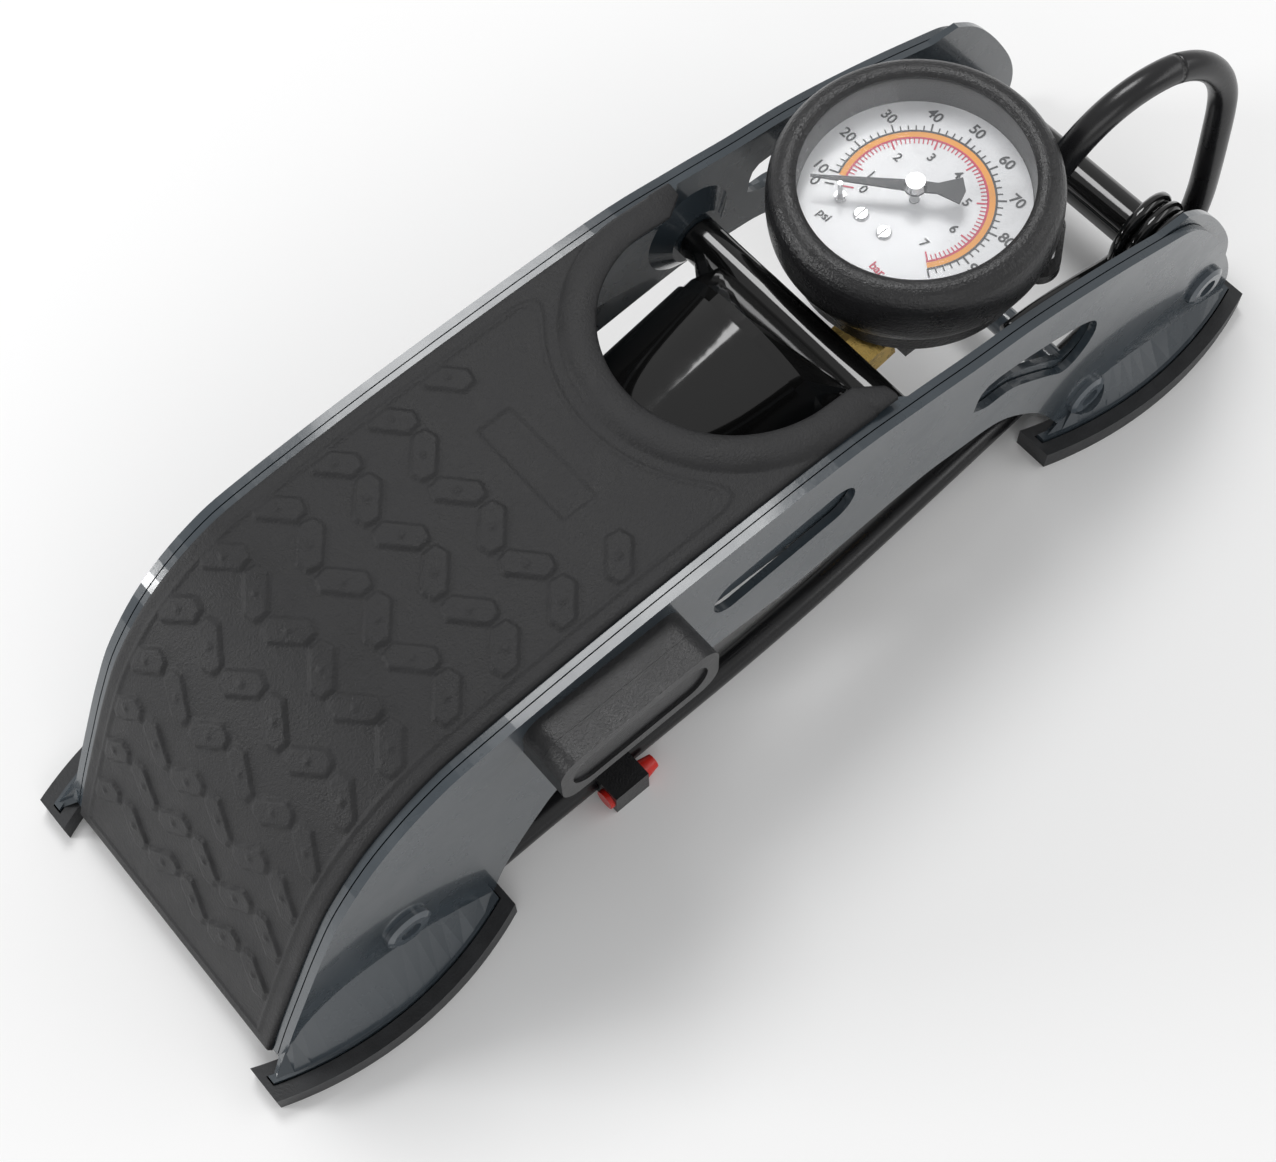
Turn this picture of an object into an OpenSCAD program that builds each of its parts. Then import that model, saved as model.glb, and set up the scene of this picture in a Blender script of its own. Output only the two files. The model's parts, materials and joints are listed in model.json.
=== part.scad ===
// Single-barrel foot pump with a pressure gauge, folded shut.
// X runs from the foot end (-) to the hinge end (+), Y across, Z up.
// The origin is on the floor, midway between the ends.

/* [Frame] */
// Distance between the outer faces of the two base plates
frame_w = 82; // [80:0.5:84]
// Thickness of the steel sheet
sheet = 2; // [1.6:0.1:2.2]
// Radius of the hinge pin and of the rear cross rod
pin_r = 4; // [3.5:0.1:4.2]
// Radius of a rivet's round head
rivet_r = 5.8; // [5.2:0.1:6.2]

/* [Feet] */
// Height of the rubber shoes
shoe_h = 6; // [5:0.5:7]
// Width of the rubber shoes
shoe_w = 9; // [8:0.5:10]

/* [Pedal] */
// Distance between the outer faces of the pedal's flanges
pedal_w = 77.4; // [76.8:0.1:77.4]
// Thickness of the rubber pad
pad_t = 1.8; // [1.2:0.1:2.2]
// Radius of the round opening over the barrel's head
opening_r = 31; // [29:0.5:32]

/* [Barrel] */
// Outer diameter of the pump barrel
barrel_d = 50; // [46:0.5:50]
// Wall of the pump barrel
barrel_wall = 1.5; // [1.2:0.1:2]
// Length of the pump barrel
barrel_len = 119; // [116:1:120]
// Radius of the piston rod
rod_r = 4; // [3.5:0.1:4.5]

/* [Gauge] */
// Outer radius of the rubber gauge boot
boot_r = 33.5; // [32:0.25:34]
// Radius of the visible dial
dial_r = 26.5; // [25:0.25:26.5]
// Tilt of the dial, rising towards the hinge
dial_tilt = 4.4; // [0:0.2:6]

/* [Hose] */
// Outer diameter of the air hose
hose_d = 7.1; // [6:0.1:7.2]

/* [Hidden] */
$fn = 64;
steps = 5;
plate_out = frame_w / 2;
plate_in = plate_out - sheet;
flange_out = pedal_w / 2;
flange_in = flange_out - sheet + 0.2;
barrel_r = barrel_d / 2;
run_gap = 0.08;
slip_gap = 0.3;
head_t = 1.8;

// Pivots in the X-Z plane
hinge_at = [140.5, 22.3];
rear_rod_at = [100, 14.1];
front_at = [-113.8, 28.6];
head_at = [36.3, 62];
slope = atan2(head_at[1] - front_at[1], head_at[0] - front_at[0]);
pivot_gap = norm(head_at - front_at);

// Barrel stations, measured along its axis from the head pivot
tube_from = -14;
tube_to = tube_from - barrel_len;
cap_t = 4;
piston_x = -27;
piston_t = 9;
tube_pivot_r = 5.5;
head_pin_r = 3;

// Gauge: centre of the dial and heights above or below it
gauge_at = [71.4, 0, 79];
lens_z = 8.3;
lens_t = 1;
gauge_floor = -17.5;
needle_z = 5;
case_r = dial_r + 0.9;

// Side outlines of the sheet parts
top_line = [[-151.5, 7.5], [-147, 18], [-139.8, 33], [-132.7, 47.2], [-125.3, 59.5],
    [-113.8, 71.6], [-99.5, 79.8], [-84, 82.9], [-44, 85.2], [9, 85], [33.5, 82],
    [51.2, 79], [71, 76.1], [94.2, 70.3], [115.5, 63.6]];
rear_line = [[124.2, 60.2], [130.8, 54.4], [139.5, 42], [148.4, 26], [152.6, 14.5], [152, 7.5]];
rear_bend = [[144, 9.5], [124, 13.2], [113, 15.3], [103, 15.2], [93, 6]];
arch_line = [[84.3, 21], [77.2, 30], [65, 40.3], [51, 43.5], [35, 45], [1, 42.6], [-11, 43.2],
    [-29, 44.6], [-58, 41], [-69.8, 36.6], [-77, 30], [-87, 17], [-92, 6]];
front_bend = [[-106, 15.5], [-116.4, 20], [-132.4, 22.6], [-144, 18.2], [-151.5, 7.5]];
window_line = [[53, 57.6], [56.5, 65.4], [74.6, 62.3], [91.4, 55.9], [94.9, 48.5], [91.6, 41.6],
    [86.2, 39.4], [79.5, 44.4], [66.6, 53.5], [58, 54.8]];
flange_rear = [[124.8, 63], [132.5, 57], [141, 46], [149.5, 31], [151.8, 20], [148.6, 12.2],
    [140.5, 10]];
flange_under = [[130, 12.4], [118, 21.5], [103, 31.5], [88, 38], [70, 45.5], [50, 49.2],
    [30, 51.2], [10, 57], [-30, 60.5], [-80, 58.6], [-100, 54], [-116, 44.5], [-130, 30.5],
    [-141, 15], [-147.5, 8.6]];

// Route of the hose, from the gauge block over the hinge and along the floor to the chuck
hose_route = [[73, -8, 54], [77.2, -8, 52.6], [82.5, -8, 51.3], [88, -8, 51.2],
    [93.5, -8.3, 52.3], [98.6, -8.8, 54.6], [103, -9.4, 58], [107.3, -10, 63.6],
    [111.3, -10.8, 70.5], [115.3, -11.6, 75.7], [120.5, -12.4, 79.7], [126.5, -13.3, 82.2],
    [133, -14.2, 83], [139.5, -15.1, 82.2], [145.5, -16.2, 79.7], [150.7, -17.3, 75.7],
    [154.7, -18.4, 70.5], [157.2, -19.4, 64.5], [158, -20.3, 58], [158, -21.4, 48],
    [158, -22.3, 38], [158, -23, 27], [156.3, -23.6, 17.6], [151.6, -24.2, 10.4],
    [144.4, -24.8, 5.7], [136, -25.2, 4], [124, -26, 3.6], [100, -27.6, 3.6],
    [72, -29.4, 3.6], [43, -31.2, 3.6], [15, -32.7, 3.6], [-13, -33.4, 3.6],
    [-42, -33.5, 3.6], [-70, -33.5, 3.6], [-93, -33.5, 3.6], [-104.2, -31.3, 3.6],
    [-113.6, -25, 3.6], [-119.8, -15.6, 3.6], [-122, -4.5, 3.6], [-119.8, 6.6, 3.6],
    [-113.6, 16, 3.6], [-104.2, 22.3, 3.6], [-93, 24.5, 3.6], [-75, 24.8, 3.6],
    [-50, 25, 3.6], [-25, 25, 4.4], [-8, 25, 6], [6, 25, 7.5]];

// Chuck: where the hose enters it, and its size
chuck_at = [6, 25, 7.5];
chuck_len = 36;
chuck_r = 7.4;

// Return spring: coil round the hinge pin
wire_r = 1.75;
coil_r = 10;
coil_turns = 4;
coil_pitch = 3.8;
coil_y = -34.6;

// Feet: plan arc of each shoe's outer edge
foot_front = [-157.8, -90, 6.5, 53];
foot_rear = [84.4, 157, 6, 51];
groove_w = 2.6;
groove_in = 3.6;

// Accessory case: centre in X-Z, size, and depths of the box and the lid
case_x = [-56, 72];
case_size = [42, 16.5];
box_y = 6;
lid_y = 6;
case_rivet_x = [-66, -46];
case_rivet_r = 1.6;

// Smooth curve through a list of points
function smooth(p, n) = concat([for (i = [0:len(p) - 2], k = [0:n - 1])
    let (t = k / n, a = p[max(i - 1, 0)], b = p[i], c = p[i + 1], d = p[min(i + 2, len(p) - 1)])
    ((2 * b) + (c - a) * t + (2 * a - 5 * b + 4 * c - d) * t * t
        + (3 * b - a - 3 * c + d) * t * t * t) / 2], [p[len(p) - 1]]);
function unit(v) = v / norm(v);
// The same curve moved sideways by d, to its left
function beside(p, d) = [for (i = [0:len(p) - 1])
    let (t = unit(p[min(i + 1, len(p) - 1)] - p[max(i - 1, 0)])) p[i] + d * [-t[1], t[0]]];
function back(p) = [for (i = [len(p) - 1:-1:0]) p[i]];

// Turns a drawing in X-Z into a slab from y0 to y1
module slab(y0, y1) {
    translate([0, y1, 0]) rotate([90, 0, 0]) linear_extrude(y1 - y0) children();
}

// Cylinder along Y through a point of the X-Z plane
module cross_bar(at, r, y0, y1) {
    translate([at[0], y0, at[1]]) rotate([-90, 0, 0]) cylinder(h = y1 - y0, r = r);
}

// Slot with round ends, in the plane of the drawing
module stadium(length, width) {
    square([length - width, width], center = true);
    for (side = [-1, 1]) translate([side * (length - width) / 2, 0]) circle(d = width);
}

// Rectangle with round corners
module round_rect(length, width, r) {
    square([length - 2 * r, width], center = true);
    square([length, width - 2 * r], center = true);
    for (x = [-1, 1], y = [-1, 1])
        translate([x * (length / 2 - r), y * (width / 2 - r)]) circle(r = r);
}

// Round tube swept along a path, from carried normals
function path_tangent(p, i) = unit(p[min(i + 1, len(p) - 1)] - p[max(i - 1, 0)]);
function carried(p, n0) = [for (i = 0, n = n0; i < len(p);
    i = i + 1, n = i < len(p) ? unit(n - (n * path_tangent(p, i)) * path_tangent(p, i)) : n) n];
module swept_tube(p, r, sides, n0) {
    normals = carried(p, n0);
    rings = [for (i = [0:len(p) - 1], k = [0:sides - 1])
        let (t = path_tangent(p, i), a = 360 * k / sides, n = unit(normals[i] - (normals[i] * t) * t))
        p[i] + r * (cos(a) * n + sin(a) * cross(t, n))];
    last = (len(p) - 1) * sides;
    polyhedron(rings, concat([[for (k = [0:sides - 1]) k]],
        [for (i = [0:len(p) - 2], k = [0:sides - 1])
            let (a = i * sides + k, b = i * sides + (k + 1) % sides)
            [a, a + sides, b + sides, b]],
        [[for (k = [sides - 1:-1:0]) last + k]]));
}

// Pressed foot: radius and centre of a shoe's plan arc
function arc_r(foot) = (pow((foot[1] - foot[0]) / 2, 2) + pow(foot[2], 2)) / (2 * foot[2]);
function arc_centre(foot) = [(foot[0] + foot[1]) / 2, arc_r(foot) - foot[3]];
module arc_band(foot, inset, width, trim) {
    intersection() {
        translate(arc_centre(foot)) difference() {
            circle(r = arc_r(foot) - inset, $fn = 180);
            circle(r = arc_r(foot) - inset - width, $fn = 180);
        }
        translate([foot[0] + trim, -foot[3] - 1])
            square([foot[1] - foot[0] - 2 * trim, 40]);
    }
}

// Flared sheet between the plate's bend line and the foot's skirt
module flare(foot, bend) {
    count = len(bend) - 1;
    mid_r = arc_r(foot) - groove_in - groove_w / 2;
    centre = arc_centre(foot);
    skirt_in = 2.6;
    low = [for (i = [0:count])
        let (x = foot[0] + skirt_in + (foot[1] - foot[0] - 2 * skirt_in) * i / count)
        [x, centre[1] - sqrt(mid_r * mid_r - pow(x - centre[0], 2))]];
    half = 0.6;
    drop = 0.9;
    points = concat(
        [for (b = bend) [b[0], -plate_out + sheet / 2 - half, b[1] + 0.3 + drop]],
        [for (l = low) [l[0], l[1] - half, shoe_h - 0.3 + drop]],
        [for (l = low) [l[0], l[1] + half, shoe_h - 0.3]],
        [for (b = bend) [b[0], -plate_out + sheet / 2 + half, b[1] + 0.3]]);
    n = count + 1;
    polyhedron(points, concat(
        [for (j = [0:2], i = [0:count - 1]) for (f = [[j * n + i, j * n + i + 1, j * n + n + i],
            [j * n + i + 1, j * n + n + i + 1, j * n + n + i]]) f],
        [for (i = [0:count - 1]) for (f = [[3 * n + i, 3 * n + i + 1, i], [3 * n + i + 1, i + 1, i]]) f],
        [[0, n, 2 * n, 3 * n], [3 * n + count, 2 * n + count, n + count, count]]));
}

module base_plate(case_holes) {
    difference() {
        union() {
            slab(-plate_out, -plate_in) difference() {
                polygon(concat(smooth(concat(top_line, rear_line), steps),
                    smooth(rear_bend, steps), smooth(arch_line, steps), smooth(front_bend, steps)));
                translate([-5, 65.5]) rotate(3) stadium(41, 11.5);
                polygon(smooth(concat(window_line, [window_line[0]]), 4));
            }
            flare(foot_front, back(smooth(front_bend_full(), 3)));
            flare(foot_rear, back(smooth(rear_bend_full(), 3)));
        }
        for (at = [hinge_at, rear_rod_at, front_at])
            cross_bar(at, pin_r, -plate_out - 1, -plate_in + 1);
        cross_bar(rear_rod_at, rivet_r, -plate_out - head_t - 4, -plate_out);
        if (case_holes) for (x = case_rivet_x)
            cross_bar([x, case_x[1]], case_rivet_r, -plate_out - 1, -plate_in + 1);
    }
    foot_skirt(foot_front);
    foot_skirt(foot_rear);
}
function front_bend_full() = concat([[-92, 6]], front_bend);
function rear_bend_full() = concat([[152, 7.5]], rear_bend);

module foot_skirt(foot) {
    translate([0, 0, shoe_h - 3.4]) linear_extrude(4.4)
        arc_band(foot, groove_in + 0.3, groove_w - 0.6, 2);
}

module shoe(foot) {
    difference() {
        linear_extrude(shoe_h) arc_band(foot, 0, shoe_w, 0);
        translate([0, 0, shoe_h - 3.7]) linear_extrude(4)
            arc_band(foot, groove_in, groove_w, 1.6);
    }
}

// Round rivet head with a hollow middle, at y, facing side
module rivet_head(at, y, side) {
    translate([at[0], y, at[1]]) rotate([-90 * side, 0, 0]) difference() {
        union() {
            cylinder(h = head_t * 0.6, r = rivet_r);
            translate([0, 0, head_t * 0.6]) cylinder(h = head_t * 0.4, r1 = rivet_r, r2 = rivet_r - 1.2);
        }
        translate([0, 0, head_t * 0.4]) cylinder(h = head_t, r = 2.6);
    }
}

module through_pin(at) {
    cross_bar(at, pin_r, -plate_out, plate_out);
    for (side = [-1, 1]) rivet_head(at, side * plate_out, side);
}

module base_plate_right() { color([0.3, 0.33, 0.36]) base_plate(true); }
module base_plate_left() { color([0.3, 0.33, 0.36]) mirror([0, 1, 0]) base_plate(false); }
module shoe_front_right() { color([0.15, 0.15, 0.15]) shoe(foot_front); }
module shoe_front_left() { color([0.15, 0.15, 0.15]) mirror([0, 1, 0]) shoe(foot_front); }
module shoe_rear_right() { color([0.15, 0.15, 0.15]) shoe(foot_rear); }
module shoe_rear_left() { color([0.15, 0.15, 0.15]) mirror([0, 1, 0]) shoe(foot_rear); }
module hinge_pin() { color([0.4, 0.43, 0.46]) through_pin(hinge_at); }
module rear_cross_rod() { color([0.4, 0.43, 0.46]) through_pin(rear_rod_at); }

// Two rivets that carry the front cross tube, cut short inside the plates
module front_rivets() {
    color([0.4, 0.43, 0.46]) for (side = [-1, 1]) {
        cross_bar(front_at, pin_r, side > 0 ? plate_in : -plate_out, side > 0 ? plate_out : -plate_in);
        rivet_head(front_at, side * plate_out, side);
    }
}

// Spacer tube on the hinge pin, between the pedal's flanges
module hinge_spacer() {
    color([0.2, 0.2, 0.2]) difference() {
        cross_bar(hinge_at, 6, -flange_in + slip_gap, flange_in - slip_gap);
        cross_bar(hinge_at, pin_r, -flange_in, flange_in);
    }
}

// Torsion spring: a leg along the pedal's flange, the coil, and a leg over the rear rod
module return_spring() {
    sides = 16;
    coil = [for (i = [0:coil_turns * sides])
        let (a = 90 + 360 * i / sides)
        [hinge_at[0] + coil_r * cos(a), coil_y + coil_pitch * i / sides, hinge_at[1] + coil_r * sin(a)]];
    tail = [for (i = [1:sides / 2])
        let (a = 90 + 360 * i / sides)
        [hinge_at[0] + coil_r * cos(a), coil_y + coil_pitch * (coil_turns + i / sides),
            hinge_at[1] + coil_r * sin(a)]];
    end_y = coil_y + coil_pitch * (coil_turns + 0.5);
    color([0.12, 0.12, 0.13]) swept_tube(concat(
        [[78, coil_y, 51], [100, coil_y, 45.2], [125, coil_y, 36.6], [133, coil_y, 33.8]],
        coil, tail,
        [[132, end_y, 13.2], [118, end_y, 17.4], [104, end_y, 20.6], [94, end_y, 21.4]]),
        wire_r, 8, [0, 1, 0]);
}

// Accessory case on the right base plate
module case_box() {
    color([0.3, 0.33, 0.36]) difference() {
        slab(-plate_out - box_y, -plate_out) translate(case_x)
            round_rect(case_size[0], case_size[1], 5);
        slab(-plate_out - box_y - 1, -plate_out - 1.4)
            translate(case_x) round_rect(case_size[0] - 3, case_size[1] - 3, 3.5);
        for (x = case_rivet_x) cross_bar([x, case_x[1]], case_rivet_r, -plate_out - 2, -plate_out + 1);
    }
}
module case_lid() {
    outer = -plate_out - box_y - lid_y;
    color([0.1, 0.1, 0.1]) difference() {
        union() {
            slab(outer, -plate_out - box_y - 0.05)
                translate(case_x) round_rect(case_size[0], case_size[1], 5);
            slab(-plate_out - box_y - 0.1, -plate_out - box_y + 2)
                translate(case_x) round_rect(case_size[0] - 3.6, case_size[1] - 3.6, 3.2);
        }
        slab(outer - 1, outer + 0.8) translate(case_x) stadium(36, 10.5);
        slab(outer + 2, -plate_out) translate(case_x)
            round_rect(case_size[0] - 6.4, case_size[1] - 6.4, 2);
    }
}
module case_rivets() {
    color([0.5, 0.5, 0.5]) for (x = case_rivet_x) {
        cross_bar([x, case_x[1]], case_rivet_r, -plate_out - 1.4, -plate_in);
        cross_bar([x, case_x[1]], case_rivet_r + 1, -plate_out - 2.3, -plate_out - 1.4);
    }
}

// Pedal: inverted channel with an open rear and a round-ended opening
module pedal_channel() {
    top = smooth(top_line, steps);
    under = beside(top, -sheet + 0.2);
    color([0.3, 0.33, 0.36]) difference() {
        slab(-flange_out, flange_out) polygon(concat(top, smooth(flange_rear, steps),
            smooth(flange_under, steps)));
        slab(-flange_in, flange_in) polygon(concat(under, [[200, 60], [200, -10], [-145, -10]]));
        translate([16, 0, 0]) cylinder(h = 200, r = opening_r, $fn = 96);
        linear_extrude(200) polygon([[16, -opening_r], [24, -opening_r], [33, -flange_in],
            [200, -flange_in], [200, flange_in], [33, flange_in], [24, opening_r], [16, opening_r]]);
        cross_bar(hinge_at, pin_r + run_gap, -flange_out - 1, flange_out + 1);
        cross_bar(head_at, head_pin_r, -flange_out - 1, flange_out + 1);
        slab(-flange_out - 1, flange_out + 1)
            polygon(smooth([for (w = concat(window_line, [window_line[0]])) w + [2, 1.5]], 4));
    }
    color([0.3, 0.33, 0.36]) difference() {
        for (side = [-1, 1]) translate([head_at[0], side * (flange_in + 0.1), head_at[1]])
            rotate([90 * side, 0, 0]) cylinder(h = 3.1, r1 = 12.5, r2 = 7.5);
        cross_bar(head_at, head_pin_r, -flange_out - 1, flange_out + 1);
    }
}

module pedal_pad() {
    top = [for (p = smooth(top_line, steps)) if (p[0] < 30) p];
    color([0.2, 0.2, 0.2]) difference() {
        slab(-flange_out + 1.6, flange_out - 1.6)
            polygon(concat(beside(top, pad_t), back(beside(top, 0.02))));
        translate([16, 0, 0]) cylinder(h = 200, r = opening_r - 2, $fn = 96);
        linear_extrude(200) polygon([[16, 2 - opening_r], [24, 2 - opening_r], [36, 2 - flange_in],
            [36, flange_in - 2], [24, opening_r - 2], [16, opening_r - 2]]);
    }
}

module head_pin() { color([0.5, 0.52, 0.55]) cross_bar(head_at, head_pin_r, -flange_out, flange_out); }

// Places parts of the barrel: X along its axis, origin at the head pivot
module on_barrel() { translate([head_at[0], 0, head_at[1]]) rotate([0, -slope, 0]) children(); }
module along(x0, x1, r) { translate([x0, 0, 0]) rotate([0, 90, 0]) cylinder(h = x1 - x0, r = r); }

module barrel_tube() {
    color([0.05, 0.05, 0.05]) on_barrel() difference() {
        along(tube_to, tube_from, barrel_r);
        along(tube_to - 1, tube_from + 1, barrel_r - barrel_wall);
    }
}

// Cast head: plug in the tube, drawn down to the cross tube on the head pin
module barrel_head() {
    cross_half = flange_in - 3.4;
    color([0.05, 0.05, 0.05]) on_barrel() difference() {
        union() {
            along(tube_from - 6, tube_from, barrel_r - barrel_wall);
            hull() {
                along(tube_from, tube_from + 3, barrel_r - 0.6, $fn = 32);
                translate([-3, 0, 0]) cube([1, 2 * barrel_r - 6, 9], center = true);
            }
            cross_bar([0, 0], tube_pivot_r, -cross_half, cross_half);
            hull() {
                along(tube_from, tube_from + 1, barrel_r - 8, $fn = 32);
                translate([-2, 0, 0]) cube([2, 2 * cross_half - 4, 5], center = true);
            }
        }
        cross_bar([0, 0], head_pin_r + run_gap, -flange_in, flange_in);
        translate([0, -8, -14]) {
            along(tube_from - 7, 0, 2.5);
            along(-7.5, 0, 4.6);
        }
    }
}

module barrel_cap() {
    color([0.08, 0.08, 0.08]) on_barrel() difference() {
        union() {
            along(tube_to - cap_t, tube_to, barrel_r);
            along(tube_to, tube_to + 5, barrel_r - barrel_wall);
        }
        along(tube_to - cap_t - 1, tube_to + 6, rod_r + run_gap);
        for (y = [-14, 14]) translate([0, y, 0]) along(tube_to - cap_t - 1, tube_to + 6, 2);
    }
}

// Flap of the outlet check valve, inside the head's air passage
module check_valve() {
    color([0.6, 0.2, 0.15]) on_barrel() translate([0, -8, -14]) along(tube_from - 4, tube_from - 2.5, 2.5);
}

// Brass union from the head's air passage to the gauge block
module outlet_union() {
    color([0.8, 0.65, 0.25]) on_barrel() translate([0, -8, -14]) {
        along(tube_from - 0.5, -7.5, 2.5);
        along(-7.5, 7, 4.6);
        translate([7, 0, 0]) rotate([0, 90, 0]) cylinder(h = 9, r = 7.2, $fn = 6);
        along(16, 20, 4);
    }
}

module on_gauge() { translate(gauge_at) rotate([0, -dial_tilt, 0]) children(); }

// Block under the gauge: air in from the union, up to the gauge and out to the hose
block_x = [57.6, 69];
module gauge_block() {
    color([0.12, 0.12, 0.12]) difference() {
        union() {
            translate([block_x[0], -16, 46.5]) cube([block_x[1] - block_x[0], 26, 11]);
            translate([66, 0, 56]) cylinder(h = 4, r = 6);
            translate([68, -8, 55.8]) rotate([0, 110, 0]) cylinder(h = 4.7, r = 3.4);
        }
        on_barrel() translate([0, -8, -14]) along(0, 20, 4);
        on_gauge() translate([-40, -40, gauge_floor - 1.5]) cube([80, 80, 20]);
    }
}

module gauge_case() {
    color([0.6, 0.6, 0.62]) on_gauge() difference() {
        translate([0, 0, gauge_floor + 1.5]) cylinder(h = lens_z - gauge_floor - 1.5, r = case_r);
        translate([0, 0, gauge_floor + 2.5]) cylinder(h = 40, r = dial_r + 0.1);
    }
}

// Rubber boot with the thick bezel, the lower housing and two slotted lugs
lug_at = [-52, 52];
module gauge_boot() {
    color([0.1, 0.1, 0.1]) on_gauge() {
        rotate_extrude($fn = 96) polygon(concat(
            [[0, gauge_floor - 1.5], [27, gauge_floor - 1.5], [28.5, gauge_floor], [28.8, -10]],
            smooth([[29.6, -9.6], [31.8, -7.4], [33.2, -3.4], [boot_r, 2], [33, 6.4],
                [31.4, 9], [29.2, 10.1], [27.5, 10], [dial_r, 9.4]], 3),
            [[dial_r, lens_z + lens_t], [case_r, lens_z + lens_t], [case_r, gauge_floor],
                [0, gauge_floor]]));
        for (a = lug_at) difference() {
            rotate(a) translate([29.5, 0, -14]) linear_extrude(3) rotate(90) stadium(19, 10);
            translate([0, 0, -16]) cylinder(h = 7, r = 28.2);
            rotate(a) translate([31.4, 0, -16]) linear_extrude(7) rotate(90) stadium(9, 3);
        }
    }
}

module dial_face() {
    color([0.95, 0.95, 0.95]) on_gauge() difference() {
        translate([0, 0, -0.8]) cylinder(h = 0.8, r = dial_r);
        translate([0, 0, -2]) cylinder(h = 4, r = 1.2);
    }
}

module gauge_lens() {
    color([0.8, 0.9, 0.95, 0.4]) on_gauge() translate([0, 0, lens_z]) cylinder(h = lens_t, r = case_r);
}

// Screws and stop pin stand on the dial; angles are from the dial's up direction, +X
function on_dial(r, a) = [r * cos(a), r * sin(a)];
module dial_screws() {
    color([0.75, 0.75, 0.75]) on_gauge() for (p = [on_dial(12.5, 155), on_dial(11.2, 189)])
        translate([p[0], p[1], 0]) difference() {
            cylinder(h = 0.9, r1 = 1.9, r2 = 1.5);
            translate([-2, -0.25, 0.5]) cube([4, 0.5, 1]);
        }
}
module stop_pin() {
    at = on_dial(16.6, 135);
    color([0.75, 0.75, 0.75]) on_gauge() translate([at[0], at[1], 0]) {
        cylinder(h = 1.2, r = 1.4);
        cylinder(h = needle_z + 1.2, r = 0.6);
    }
}

// Curved pressure tube that turns the needle, behind the dial
module bourdon_tube() {
    color([0.8, 0.65, 0.25]) on_gauge() translate([0, 0, -10]) rotate(150)
        rotate_extrude(angle = 260) translate([17, 0]) square([2.2, 6], center = true);
    color([0.8, 0.65, 0.25]) on_gauge() rotate(150) translate([14, -4, gauge_floor + 2.6])
        cube([6, 8, 12]);
}

needle_zero = 129;
module needle_shaft() {
    color([0.8, 0.8, 0.8]) on_gauge() {
        translate([0, 0, -8]) cylinder(h = 8 + needle_z + 0.7, r = 1.1);
        translate([0, 0, needle_z + 0.65]) cylinder(h = 1.8, r1 = 2.6, r2 = 2.2);
    }
}
module needle() {
    color([0.05, 0.05, 0.05]) on_gauge() rotate(needle_zero) translate([0, 0, needle_z]) difference() {
        union() {
            linear_extrude(0.6) polygon([[0, -1.5], [23.5, -0.2], [23.5, 0.2], [0, 1.5],
                [-5, 1.3], [-10.2, 3.4], [-11.2, 0], [-10.2, -3.4], [-5, -1.3]]);
            cylinder(h = 0.65, r = 2.6);
        }
        translate([0, 0, -1]) cylinder(h = 3, r = 1.1);
    }
}

module piston_rod() {
    color([0.75, 0.76, 0.78]) on_barrel() along(tube_pivot_r - pivot_gap, piston_x - piston_t, rod_r);
}
module front_cross_tube() {
    color([0.08, 0.08, 0.08]) on_barrel() cross_bar([-pivot_gap, 0], tube_pivot_r,
        -plate_in + 3, plate_in - 3);
}
module piston() {
    color([0.2, 0.2, 0.22]) on_barrel() difference() {
        along(piston_x - piston_t, piston_x, barrel_r - barrel_wall - 0.1);
        translate([piston_x - 6, 0, 0]) rotate([0, 90, 0]) difference() {
            cylinder(h = 3, r = barrel_r);
            translate([0, 0, -1]) cylinder(h = 5, r = barrel_r - barrel_wall - 3);
        }
    }
}
module piston_seal() {
    color([0.1, 0.1, 0.1]) on_barrel() translate([piston_x - 5.9, 0, 0]) rotate([0, 90, 0])
        difference() {
            cylinder(h = 2.8, r = barrel_r - barrel_wall - 0.05);
            translate([0, 0, -1]) cylinder(h = 5, r = barrel_r - barrel_wall - 3);
        }
}

module air_hose() { color([0.08, 0.08, 0.08]) swept_tube(hose_route, hose_d / 2, 10, [0, 1, 0]); }

// Thumb-lock chuck on the hose's free end
module on_chuck() { translate(chuck_at) children(); }
lever_at = [16, 5.2];
lever_slot = 20;
valve_hole_r = 4.2;
module chuck_body() {
    color([0.1, 0.1, 0.1]) on_chuck() difference() {
        union() {
            along(0, 8, 5.4);
            along(8, chuck_len, chuck_r);
            for (y = [-5.6, 3.4]) translate([10, y, 0]) cube([11, 2.2, 9]);
        }
        along(chuck_len - 6, chuck_len + 1, valve_hole_r);
        along(chuck_len - 12, chuck_len - 6, valve_hole_r + 0.8);
        translate([9.6, -3.4, 2]) cube([lever_slot, 6.8, 12]);
        translate([lever_at[0], -8, lever_at[1]]) rotate([-90, 0, 0]) cylinder(h = 16, r = 1.2);
    }
}
module chuck_seal() {
    color([0.05, 0.05, 0.05]) on_chuck() difference() {
        along(chuck_len - 11.9, chuck_len - 6.1, valve_hole_r + 0.7);
        along(chuck_len - 13, chuck_len, 2.6);
        translate([9.6, -3.4, 2]) cube([lever_slot, 6.8, 12]);
    }
}
module chuck_lever() {
    color([0.1, 0.1, 0.1]) on_chuck() {
        translate([lever_at[0], -5.5, lever_at[1]]) rotate([-90, 0, 0]) cylinder(h = 11, r = 1.12);
        translate([lever_at[0], -3.1, lever_at[1]]) rotate([-90, 0, 0]) cylinder(h = 6.2, r = 2.8);
        translate([lever_at[0], -3.1, lever_at[1] - 0.2]) cube([lever_slot - 6.8, 6.2, 3]);
    }
}

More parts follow.
